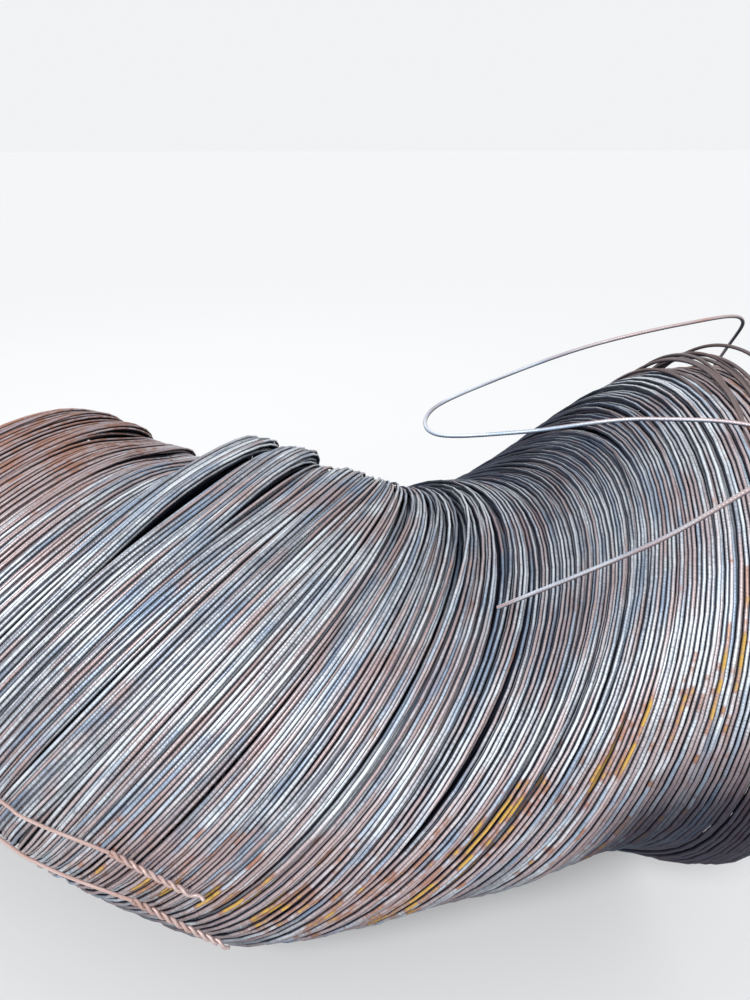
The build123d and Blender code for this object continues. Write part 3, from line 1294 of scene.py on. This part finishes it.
@dataclass
class LooseRod:
    """A stretch of rod that stands clear of the turns, with its ribs modelled where they show."""

    name: str
    points: list
    diameter: float = ROD_DIAMETER
    sides: int = 9
    step: float = 0.0021
    rib: float = 0.00045
    rib_rings: int = 3
    rust: float = 0.3
    chance: float = 0.5
    wrap_size: float = 0.1
    wrap_rate: float = 1.5
    crown_level: float = 0.75
    crown_slope: float = 0.35
    slot: str = "rod_steel"
    node: str = "wire_coil"

    def marks(self, line: np.ndarray, rings: np.ndarray) -> dict[str, np.ndarray]:
        """Work out the marks that the finish reads.

        Args:
            line: The rod's line.
            rings: The rings of points round it.

        Returns:
            One value or vector for each point of the rings, under each mark's name.
        """
        shape = rings.shape[:2]
        length = np.arange(len(line)) * self.step
        turn = FULL_TURN * np.arange(self.sides) / self.sides
        wrap = [np.broadcast_to(self.wrap_size * np.cos(turn), shape),
                np.broadcast_to(self.wrap_size * np.sin(turn), shape),
                np.broadcast_to(length[:, None] * self.wrap_rate, shape)]
        # The crown mark falls from the rod's upper side to its underside, where the finish paints shade.
        facing = unit(rings - line[:, None, :])[..., 2]
        none = np.zeros(rings.shape[0] * self.sides)
        return {
            "wrap": np.stack(wrap, axis=-1).reshape(-1, 3),
            "chance": none + self.chance,
            "crown": np.clip(self.crown_level + self.crown_slope * facing, 0, 1).reshape(-1),
            "deep_shade": none,
            "shade": none,
            "rusty": none + self.rust,
            "ochre": none,
            "along": np.repeat(length, self.sides),
        }

    def build(self, material: bpy.types.Material) -> None:
        """Make the rod.

        Args:
            material: Finish of the rod.
        """
        line = through(self.points, self.step)
        size = self.diameter + self.rib * (np.arange(len(line)) % self.rib_rings == 0)
        rings = TubeBuilder.rings(line, carried_frames(line), size, self.sides)
        obj = TubeBuilder.build(self.name, rings)
        TubeBuilder.paint(obj, self.marks(line, rings))
        adopt(obj, material, self.slot, self.node)


@dataclass
class LooseTurns:
    """The sprung turn, the free end and the loose arcs at the coil's right end."""

    high: float = 2 * LINE.turn_radius
    wall_radius: float = 0.495
    sink: float = 0.012
    seed: int = 12
    arc_count: int = 9
    arc_points: int = 9
    arc_first: float = 0.012
    arc_pitch: float = 0.018
    arc_shift: Pair = (-0.006, 0.006)
    arc_rise: Pair = (0.022, 0.062)
    arc_fall: float = 0.05
    arc_start: Pair = (150.0, 166.0)
    arc_stop: Pair = (58.0, 84.0)
    arc_lean: Pair = (-0.03, 0.01)
    arc_roundness: float = 0.9
    arc_seat: float = 0.004
    arc_sides: int = 7
    arc_step: float = 0.006
    arc_rust: float = 0.9

    def out(self, angle: float, distance: float) -> np.ndarray:
        """Return a point level with the middle of the end turns, this far out from the right end."""
        return LINE.spot(-distance, angle, self.wall_radius)

    def at(self, x: float, y: float, z: float) -> np.ndarray:
        """Return a point given from the foot of the coil's right end."""
        return np.array([ORIGIN_SHIFT[0] + x, ORIGIN_SHIFT[1] + y, z])

    def sprung(self) -> list:
        """Trace the turn that has sprung off the top of the right end.

        Returns:
            The points that it goes through.
        """
        high = self.high
        return [
            self.out(158, -self.sink), self.out(153, 0.09), self.at(0.200, 0.330, 0.95 * high),
            self.at(0.160, 0.220, 1.05 * high), self.at(0.0, 0.160, 1.055 * high),
            self.at(-0.220, 0.150, 1.015 * high), self.at(-0.430, 0.100, 0.967 * high),
            self.at(-0.580, 0.020, 0.935 * high), self.at(-0.585, -0.075, 0.92 * high),
            self.at(-0.430, -0.130, 0.94 * high), self.at(-0.210, -0.180, 0.975 * high),
            self.at(0.0, -0.275, 0.97 * high), self.out(48, 0.1), self.out(36, -self.sink),
        ]

    def free(self) -> list:
        """Trace the cut end that has sprung out of the front of the right end.

        Returns:
            The points that it goes through.
        """
        half = LINE.turn_radius
        return [
            self.out(8, -self.sink), self.out(12, 0.1), self.at(0.160, -0.460, 1.45 * half),
            self.at(0.120, -0.500, 1.90 * half), self.at(0.0, -0.512, 2.08 * half),
            self.at(-0.140, -0.490, 2.02 * half), self.at(-0.290, -0.438, 1.76 * half),
            self.at(-0.500, -0.325, 1.41 * half),
        ]

    def arcs(self) -> list[list]:
        """Trace the loose arcs that stand up from the top of the right end.

        Returns:
            For each arc, the points that it goes through.
        """
        rng = np.random.default_rng(self.seed)
        arcs = []
        for number in range(self.arc_count):
            run = self.arc_first + self.arc_pitch * number + rng.uniform(*self.arc_shift)
            rise = rng.uniform(*self.arc_rise) * (1 - self.arc_fall * number)
            start, stop = rng.uniform(*self.arc_start), rng.uniform(*self.arc_stop)
            lean = rng.uniform(*self.arc_lean)
            arc = []
            for share in np.linspace(0, 1, self.arc_points):
                bow = np.sin(np.pi * share) ** self.arc_roundness
                radius = LINE.turn_radius - self.arc_seat + rise * bow
                arc.append(LINE.spot(run + lean * bow, start + share * (stop - start), radius))
            arcs.append(arc)
        return arcs

    def build(self, material: bpy.types.Material, rusted: bpy.types.Material) -> None:
        """Make the two rods and the loose arcs.

        Args:
            material: Finish of the two rods.
            rusted: Finish of the arcs.
        """
        LooseRod("sprung_turn", self.sprung()).build(material)
        LooseRod("free_end", self.free()).build(material)
        for number, arc in enumerate(self.arcs()):
            LooseRod(f"loose_arc_{number + 1}", arc, sides=self.arc_sides, step=self.arc_step, rib=0.0,
                     rust=self.arc_rust).build(rusted)


@dataclass
class Tie:
    """A tie of thinner rod that hooks round the left end, with its two ends twisted together."""

    name: str
    tip: Pair
    twist_start: float
    twist_angle: float
    end_angle: float
    run_shares: tuple[float, ...] = (0.0, 0.08, 0.18, 0.9)
    clearance: float = 0.012
    swell: float = 0.009
    bore_radius: float = 0.43
    hook_inset: float = 0.02
    ridge_height: float = 0.012
    ridge_gap: float = 0.0003
    reach: float = 0.15
    tip_rise: float = 0.006
    twist_pitch: float = 0.036
    twist_step: float = 0.004
    sag_share: float = 0.55
    sag: float = 0.004
    tail: float = 0.03
    sides: int = 8
    run_step: float = 0.004
    strand_step: float = 0.003
    rust: float = 0.8

    def outside(self) -> float:
        """Return how far the tie's long stretch lies from the turns' middle."""
        return LINE.turn_radius + self.swell + self.clearance

    def route(self) -> list:
        """Trace the long stretch, from the twist round the left end into the bore.

        Returns:
            The points that it goes through.
        """
        outside = self.outside()
        inside = self.bore_radius - 2 * self.clearance
        points = []
        for share in self.run_shares:
            run = self.twist_start + share * (LINE.length - self.twist_start)
            angle = self.twist_angle + share * (self.end_angle - self.twist_angle)
            points.append(LINE.spot(run, angle, outside))
        axis = LINE.frames(np.array([LINE.length]))[3][0]
        seat = axis * (self.ridge_height + self.ridge_gap + TIE_DIAMETER / 2)
        for radius in (outside - self.hook_inset, inside + self.hook_inset):
            points.append(LINE.spot(LINE.length, self.end_angle, radius) + seat)
        points.append(LINE.spot(LINE.length - self.reach, self.end_angle, inside))
        return points

    def rod(self, suffix: str, points: list, step: float) -> LooseRod:
        """Return one rod of the tie."""
        return LooseRod(f"{self.name}_{suffix}", points, TIE_DIAMETER, self.sides, step, rib=0.0,
                        rust=self.rust, slot="tie_steel", node=self.name)

    def build(self, material: bpy.types.Material) -> None:
        """Make the long stretch and the two twisted strands.

        Args:
            material: Finish of the tie.
        """
        points = self.route()
        self.rod("run", points, self.run_step).build(material)
        start, tip = points[0], LINE.spot(*self.tip, self.outside() + self.tip_rise)
        low = start + self.sag_share * (tip - start) + np.array([0, 0, -self.sag])
        line = through([start, low, tip], self.twist_step)
        side = carried_frames(line)
        other = np.cross(unit(tip - start), side)
        turn = FULL_TURN * np.arange(len(line)) * self.twist_step / self.twist_pitch
        # The second strand is cut shorter, so the twist ends in a single tail.
        shortened = int(self.tail / self.twist_step)
        for number, phase in enumerate((0.0, np.pi)):
            wind = (turn + phase)[:, None]
            strand = line + 0.5 * TIE_DIAMETER * (np.cos(wind) * side + np.sin(wind) * other)
            keep = len(strand) - number * shortened
            self.rod(f"strand_{number + 1}", list(strand[:keep:2]), self.strand_step).build(material)


@dataclass(frozen=True)
class Studio:
    """Pale floor, soft lamps and the camera."""

    camera_place: Triple = (0.2738, -1.6403, 1.565)
    camera_pitch: float = 62.7
    camera_heading: float = -4.07
    lens: float = 25.92
    sun_towards: Triple = (-0.45, -0.80, 1.0)
    sun_strength: float = 2.5
    sun_spread: float = 25.0
    lamp_place: Triple = (-1.0, 2.6, 4.2)
    lamp_target: Triple = (0.0, 0.0, 0.4)
    lamp_power: float = 20.0
    lamp_size: float = 2.0
    sky: Triple = (0.95, 0.97, 1.0)
    sky_strength: float = 0.6
    backdrop: Triple = (0.98, 0.99, 1.0)
    backdrop_strength: float = 0.9
    floor_reach: float = 60.0
    floor_grey: float = 0.78
    floor_roughness: float = 0.9

    def build(self) -> None:
        """Make the world, the floor, the lamps and the camera."""
        scene = bpy.context.scene
        scene.view_settings.view_transform = "Standard"
        self.world(scene)
        self.floor()
        self.sun()
        self.lamp()
        camera = bpy.data.cameras.new("camera")
        camera.lens = self.lens
        seat = self.place("camera", camera)
        seat.location = self.camera_place
        seat.rotation_euler = (np.radians(self.camera_pitch), 0.0, np.radians(self.camera_heading))
        scene.camera = seat

    def place(self, name: str, data: bpy.types.ID) -> bpy.types.Object:
        """Put an object into the scene.

        Args:
            name: The object's name.
            data: Its mesh, light or camera.

        Returns:
            The object.
        """
        obj = bpy.data.objects.new(name, data)
        bpy.context.scene.collection.objects.link(obj)
        return obj

    def world(self, scene: bpy.types.Scene) -> None:
        """Make an even pale sky, with a paler backdrop where the camera, gloss or glass shows it.

        Args:
            scene: The scene.
        """
        world = bpy.data.worlds.new("studio")
        scene.world = world
        world.use_nodes = True
        tree = world.node_tree
        tree.nodes.clear()
        mixer = tree.nodes.new("ShaderNodeMixShader")
        skies = ((1, self.sky, self.sky_strength), (2, self.backdrop, self.backdrop_strength))
        for number, colour, strength in skies:
            sky = tree.nodes.new("ShaderNodeBackground")
            sky.inputs["Color"].default_value = (*colour, 1.0)
            sky.inputs["Strength"].default_value = strength
            tree.links.new(sky.outputs[0], mixer.inputs[number])
        path = tree.nodes.new("ShaderNodeLightPath")
        seen = path.outputs["Is Camera Ray"]
        for ray in ("Is Glossy Ray", "Is Transmission Ray"):
            either = tree.nodes.new("ShaderNodeMath")
            either.operation = "MAXIMUM"
            tree.links.new(seen, either.inputs[0])
            tree.links.new(path.outputs[ray], either.inputs[1])
            seen = either.outputs[0]
        tree.links.new(seen, mixer.inputs[0])
        out = tree.nodes.new("ShaderNodeOutputWorld")
        tree.links.new(mixer.outputs[0], out.inputs["Surface"])

    def floor(self) -> None:
        """Make the pale floor, large enough to reach the horizon."""
        mesh = bpy.data.meshes.new("floor")
        reach = self.floor_reach
        corners = [(-reach, -reach, 0), (reach, -reach, 0), (reach, reach, 0), (-reach, reach, 0)]
        mesh.from_pydata(corners, [], [(0, 1, 2, 3)])
        floor = self.place("floor", mesh)
        material = bpy.data.materials.new("floor")
        material.use_nodes = True
        surface = material.node_tree.nodes["Principled BSDF"]
        surface.inputs["Base Color"].default_value = (*(self.floor_grey,) * 3, 1.0)
        surface.inputs["Roughness"].default_value = self.floor_roughness
        floor.data.materials.append(material)

    def sun(self) -> None:
        """Add a soft distant light, which lights the floor evenly to the horizon."""
        light = bpy.data.lights.new("sun", "SUN")
        light.energy = self.sun_strength
        light.angle = np.radians(self.sun_spread)
        self.place("sun", light).rotation_euler = Vector(self.sun_towards).to_track_quat("Z", "Y").to_euler()

    def lamp(self) -> None:
        """Add a soft square lamp behind the coil, which faces its middle."""
        light = bpy.data.lights.new("back", "AREA")
        light.energy = self.lamp_power
        light.size = self.lamp_size
        lamp = self.place("back", light)
        lamp.location = self.lamp_place
        facing = Vector(self.lamp_target) - Vector(self.lamp_place)
        lamp.rotation_euler = facing.to_track_quat("-Z", "Y").to_euler()


def main() -> None:
    """Build the coil, its loose turns, its ties and the studio."""
    logging.basicConfig(level=logging.INFO, format="%(name)s: %(message)s")
    rod = RodFinish("wire_rod").build()
    tie = RodFinish("tie_rod", bright=(0.78, 0.70, 0.69), scale=(0.50, 0.41, 0.40), mauve=(0.58, 0.44, 0.42),
                    brown=(0.46, 0.27, 0.21), metallic=0.2, rust=0.15, flank_shade_and_grime=0.5, rib_height=0.1).build()
    rusted = RodFinish("rusted_rod", bright=(0.50, 0.44, 0.43), scale=(0.10, 0.08, 0.08),
                       mauve=(0.15, 0.11, 0.11), brown=(0.13, 0.08, 0.07), metallic=0.35, rust=0.1,
                       flank_shade_and_grime=0.85, rib_height=0.2).build()
    Turns().build(rod)
    LooseTurns().build(rod, rusted)
    Tie("tie_upper", (0.935, 4.0), twist_start=1.035, twist_angle=10.0, end_angle=8.0).build(tie)
    Tie("tie_lower", (0.855, -15.0), twist_start=0.98, twist_angle=-2.0, end_angle=1.0).build(tie)
    Studio().build()


if __name__ == "__main__":
    main()
